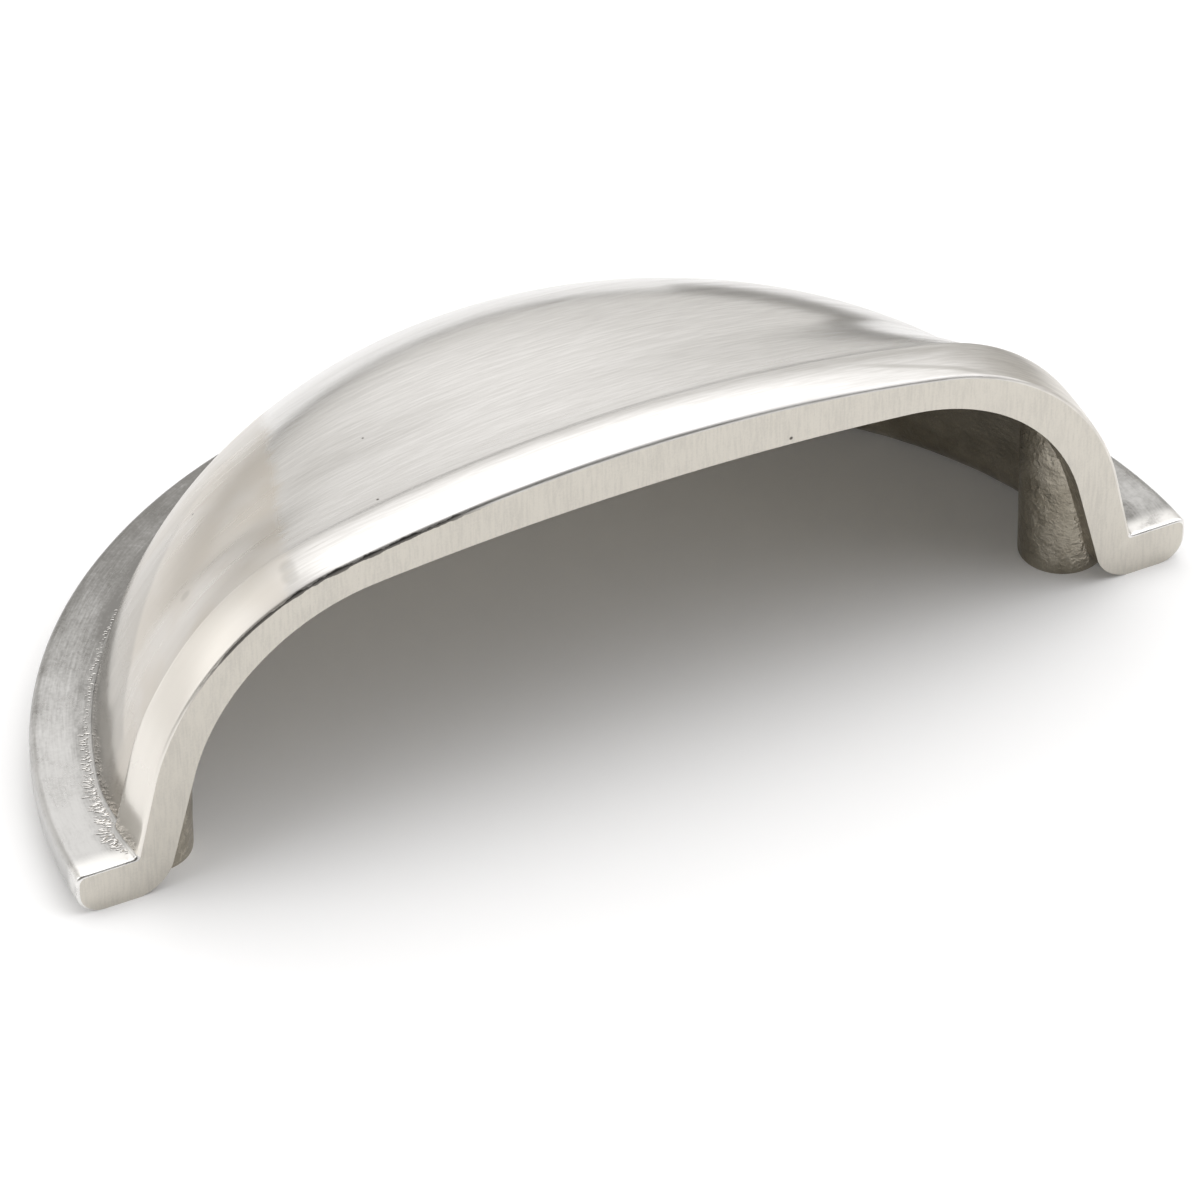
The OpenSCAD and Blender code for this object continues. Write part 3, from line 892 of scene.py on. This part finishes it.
def make_cast_skin(material):
    """Gives the faces of the hollow the uneven skin of a casting."""
    recipe = Recipe("cast_skin", {
        "Height": CAST_SKIN_HEIGHT * MM,
        "Lumps per metre": CAST_SKIN_LUMPS_PER_MM / MM,
        "Seed": CAST_SKIN_SEED,
    })
    tree, given = recipe.tree, recipe.given
    zone = add(tree, "GeometryNodeInputNamedAttribute", {"Name": "zone"}, data_type="INT").outputs[0]
    compare = add(tree, "FunctionNodeCompare", {2: zone, 3: ZONE_CAST}, data_type="INT", operation="EQUAL")
    is_cast = compare.outputs[0]
    share = add(tree, "GeometryNodeFieldOnDomain", {0: is_cast}, domain="FACE", data_type="FLOAT").outputs[0]
    wholly = maths(tree, "GREATER_THAN", share, WHOLLY)
    sockets = {"W": given["Seed"], "Scale": given["Lumps per metre"], "Detail": 2.0}
    lumps = add(tree, "ShaderNodeTexNoise", sockets, noise_dimensions="4D").outputs["Fac"]
    amount = maths(tree, "MULTIPLY", maths(tree, "SUBTRACT", lumps, 0.5), given["Height"])
    normal = tree.nodes.new("GeometryNodeInputNormal").outputs[0]
    offset = add(tree, "ShaderNodeVectorMath", {0: normal, "Scale": amount}, operation="SCALE").outputs[0]
    sockets = {"Geometry": given["Geometry"], "Selection": wholly, "Offset": offset}
    moved = add(tree, "GeometryNodeSetPosition", sockets).outputs[0]
    recipe.finish(moved, material, is_cast)
    return recipe


NICK_HALF_LENGTH = 0.065  # along the root
NICK_HALF_WIDTH = (0.12, 0.2)  # across the root: a least value and a share of the row's spread
NICK_HEIGHT = 0.065
NICK_SIZES = (0.45, 1.2)  # least and greatest share of these sizes
NICK_ALONG = 0.4  # shift along the row, either way, as a share of the spacing
NICK_ACROSS = (-0.85, 0.1)  # shift off the root, out to the flange and up the dome, by the spread
NICK_TURN = 0.35  # turn either way, in radians
NICK_FROM_MOUTH = 0.4


def make_nicks(material, spacing, spread, seed):
    """A row of small raised nicks along a line, each a low mound seated in the metal."""
    least, share = NICK_HALF_WIDTH
    recipe = Recipe("nicks", {
        "Spacing": spacing * MM,
        "Spread": spread * MM,
        "Half size": (NICK_HALF_LENGTH * MM, (least + share * spread) * MM, NICK_HEIGHT * MM),
        "Seed": seed,
    })
    tree, given = recipe.tree, recipe.given

    def chance(low, high, step):
        sockets = {2: low, 3: high, "Seed": maths(tree, "ADD", given["Seed"], step)}
        return add(tree, "FunctionNodeRandomValue", sockets, data_type="FLOAT").outputs[1]

    line = add(tree, "GeometryNodeMeshToCurve", {0: given["Geometry"]}).outputs[0]
    sockets = {"Curve": line, "Length": given["Spacing"]}
    row = add(tree, "GeometryNodeResampleCurve", sockets, mode="LENGTH").outputs[0]
    tangent = tree.nodes.new("GeometryNodeInputTangent").outputs[0]
    sockets = {"Vector": tangent}
    along = add(tree, "FunctionNodeAlignRotationToVector", sockets, axis="X", pivot_axis="Z").outputs[0]
    mound = add(tree, "GeometryNodeMeshIcoSphere", {"Radius": 1.0, "Subdivisions": 2}).outputs[0]
    sockets = {"Points": row, "Instance": mound, "Rotation": along}
    mounds = add(tree, "GeometryNodeInstanceOnPoints", sockets).outputs[0]
    shift = add(tree, "ShaderNodeCombineXYZ", {
        "X": maths(tree, "MULTIPLY", chance(-NICK_ALONG, NICK_ALONG, 1.0), given["Spacing"]),
        "Y": maths(tree, "MULTIPLY", chance(*NICK_ACROSS, 2.0), given["Spread"]),
    }).outputs[0]
    sockets = {"Instances": mounds, "Translation": shift, "Local Space": True}
    mounds = add(tree, "GeometryNodeTranslateInstances", sockets).outputs[0]
    turn = add(tree, "ShaderNodeCombineXYZ", {"Z": chance(-NICK_TURN, NICK_TURN, 3.0)}).outputs[0]
    turn = add(tree, "FunctionNodeEulerToRotation", {0: turn}).outputs[0]
    sockets = {"Instances": mounds, "Rotation": turn, "Local Space": True}
    mounds = add(tree, "GeometryNodeRotateInstances", sockets).outputs[0]
    vector = {0: given["Half size"], "Scale": chance(*NICK_SIZES, 4.0)}
    size = add(tree, "ShaderNodeVectorMath", vector, operation="SCALE").outputs[0]
    sockets = {"Instances": mounds, "Scale": size, "Local Space": True}
    mounds = add(tree, "GeometryNodeScaleInstances", sockets).outputs[0]
    recipe.finish(mounds, material)
    return recipe


# Rows of nicks along the root on the left: how far back from the mouth they reach, the distance
# from one nick to the next and the width of the row.
NICK_ROWS = [(27.0, 0.28, 0.35), (15.0, 0.20, 0.7), (10.0, 0.20, 1.2), (8.0, 0.18, 1.2)]
NICK_SEED_STEP = 10.0


def root_wire(start, reach):
    """The dome's root on the left between two depths behind the mouth, with the flange on its right."""
    points = [(-x * MM, (y - HOLE_BACK) * MM, z * MM) for x, y, z in root_line if start < y < reach][::-1]
    data = bpy.data.meshes.new("root")
    data.from_pydata(points, [(i, i + 1) for i in range(len(points) - 1)], [])
    made = bpy.data.objects.new("root", data)
    bpy.context.scene.collection.objects.link(made)
    return made


SHARP_FROM = math.radians(32)  # angle between two faces from which their edge shows

casting.data.materials.clear()
zone_materials = [make_dome_nickel(), make_flange_nickel(), make_band_nickel(), make_cast_nickel()]
for material in zone_materials:
    casting.data.materials.append(material)
zones = casting.data.attributes["zone"].data
for polygon in casting.data.polygons:
    polygon.material_index = zones[polygon.index].value
make_cast_skin(zone_materials[ZONE_CAST]).run_on(casting)
for polygon in casting.data.polygons:
    polygon.use_smooth = True
casting.data.set_sharp_from_angle(angle=SHARP_FROM)

bright_nickel = make_bright_nickel()
whole = bmesh.new()
whole.from_mesh(casting.data)
for row, (reach, spacing, spread) in enumerate(NICK_ROWS):
    wire = root_wire(NICK_FROM_MOUTH + spread, reach)
    make_nicks(bright_nickel, spacing, spread, NICK_SEED_STEP * row).run_on(wire)
    known = len(whole.faces)
    whole.from_mesh(wire.data)
    whole.faces.ensure_lookup_table()
    for face in whole.faces[known:]:
        face.material_index = len(zone_materials)
        face.smooth = True
    bpy.data.objects.remove(wire)
whole.to_mesh(casting.data)
whole.free()
casting.data.materials.append(bright_nickel)
casting.data.name = "cup_pull_casting"

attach(casting, "root")
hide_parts("cup_pull")

# Table: a sheet of white paper under the pull. It keeps the pull's shadow and runs out to plain
# white around it. The metal shows its far edge as a dark line.
TABLE_SIDE = 600
TABLE_FRONT = 800
TABLE_BACK = 270
PAPER = 0.95
PAPER_LIFT = 0.055

table_data = bpy.data.meshes.new("table")
corners = [
    (-TABLE_SIDE * MM, -TABLE_FRONT * MM, 0),
    (TABLE_SIDE * MM, -TABLE_FRONT * MM, 0),
    (TABLE_SIDE * MM, TABLE_BACK * MM, 0),
    (-TABLE_SIDE * MM, TABLE_BACK * MM, 0),
]
table_data.from_pydata(corners, [], [(0, 1, 2, 3)])
table = bpy.data.objects.new("table", table_data)
bpy.context.scene.collection.objects.link(table)


def make_paper():
    """White paper, lifted a little where the camera or a mirror sees it."""
    made = bpy.data.materials.new("white_paper")
    made.use_nodes = True
    tree = made.node_tree
    tree.nodes.remove(tree.nodes["Principled BSDF"])
    sheet = add(tree, "ShaderNodeBsdfDiffuse", {"Color": (PAPER, PAPER, PAPER, 1)})
    path = add(tree, "ShaderNodeLightPath").outputs
    seen = maths(tree, "MAXIMUM", path["Is Camera Ray"], path["Is Glossy Ray"])
    seen = maths(tree, "MAXIMUM", seen, path["Is Transmission Ray"])
    lift = add(tree, "ShaderNodeEmission", {"Strength": maths(tree, "MULTIPLY", seen, PAPER_LIFT)})
    both = add(tree, "ShaderNodeAddShader", {0: sheet.outputs[0], 1: lift.outputs[0]})
    tree.links.new(both.outputs[0], tree.nodes["Material Output"].inputs["Surface"])
    return made


table_data.materials.append(make_paper())

# Card: a grey card that stands on the table behind the pull and to its right, out of the
# picture. The dome's right shoulder mirrors it as a dark wedge.
CARD_LEFT_END = (60, 106)
CARD_RIGHT_END = (135, 60)
CARD_HEIGHT = 17
CARD_GREY = (0.52, 0.51, 0.49, 1)
CARD_ROUGHNESS = 0.9

card_data = bpy.data.meshes.new("card")
ends = (CARD_LEFT_END, CARD_RIGHT_END)
heights = (0, 0, CARD_HEIGHT, CARD_HEIGHT)
corners = [(x * MM, y * MM, z * MM) for (x, y), z in zip((*ends, *ends[::-1]), heights)]
card_data.from_pydata(corners, [], [(0, 1, 2, 3)])
card = bpy.data.objects.new("card", card_data)
bpy.context.scene.collection.objects.link(card)
card_paint = bpy.data.materials.new("grey_card")
card_paint.use_nodes = True
shader = card_paint.node_tree.nodes["Principled BSDF"]
shader.inputs["Base Color"].default_value = CARD_GREY
shader.inputs["Roughness"].default_value = CARD_ROUGHNESS
card_data.materials.append(card_paint)

# Studio: a dim warm room with soft white boxes: two overhead, two on the left, three on the right
# and four that light the wall behind. It is darker in front of the pull and below the table.
ROOM = (0.36, 0.34, 0.30)
ROOM_IN_FRONT = 0.3
ROOM_FADE_Y = (-0.6, 0.3)  # Y of the directions between which it passes from dim to full
ROOM_UNDER_TABLE = 0.42
TABLE_EDGE_BLUR = 0.03
BOX_WHITE = (0.995, 1.0, 1.025)
BOX_HALF_WIDTH = 34  # degrees from its middle at which a box ends
BOX_CORE = 5  # degrees from its middle within which it is at its level
# Each soft box: azimuth (0 behind the pull, 90 to its right) and elevation of its middle in
# degrees, and its level.
SOFT_BOXES = [
    (120, 74, 1.1),
    (20, 70, 1.2),
    (-80, 32, 1.4),
    (-72, 60, 0.5),
    (72, 60, 0.85),
    (120, 32, 1.6),
    (-30, 5, 0.65),
    (25, 5, 0.55),
    (0, 32, 0.5),
    (40, 32, 0.2),
    (80, 20, 0.3),
]

world = bpy.data.worlds.new("studio")
bpy.context.scene.world = world
world.use_nodes = True
tree = world.node_tree
direction = add(tree, "ShaderNodeTexCoord").outputs["Generated"]
rim, core = (math.cos(math.radians(angle)) for angle in (BOX_HALF_WIDTH, BOX_CORE))
along = add(tree, "ShaderNodeSeparateXYZ", {0: direction})
room = ramp(tree, along.outputs["Y"], *ROOM_FADE_Y, ROOM_IN_FRONT, 1.0)
light = add(tree, "ShaderNodeVectorMath", {0: ROOM, "Scale": room}, operation="SCALE").outputs[0]
for azimuth, elevation, level in SOFT_BOXES:
    turn = math.radians(azimuth)
    lift = math.radians(elevation)
    middle = (math.sin(turn) * math.cos(lift), math.cos(turn) * math.cos(lift), math.sin(lift))
    facing = add(tree, "ShaderNodeVectorMath", {0: direction, 1: middle}, operation="DOT_PRODUCT")
    share = ramp(tree, facing.outputs["Value"], rim, core, 0.0, level)
    box = add(tree, "ShaderNodeVectorMath", {0: BOX_WHITE, "Scale": share}, operation="SCALE").outputs[0]
    light = add(tree, "ShaderNodeVectorMath", {0: light, 1: box}).outputs[0]
tree.links.new(light, tree.nodes["Background"].inputs["Color"])
strength = ramp(tree, along.outputs["Z"], -TABLE_EDGE_BLUR, 0.0, ROOM_UNDER_TABLE, 1.0)
tree.links.new(strength, tree.nodes["Background"].inputs["Strength"])

bpy.context.scene.view_settings.view_transform = "Standard"
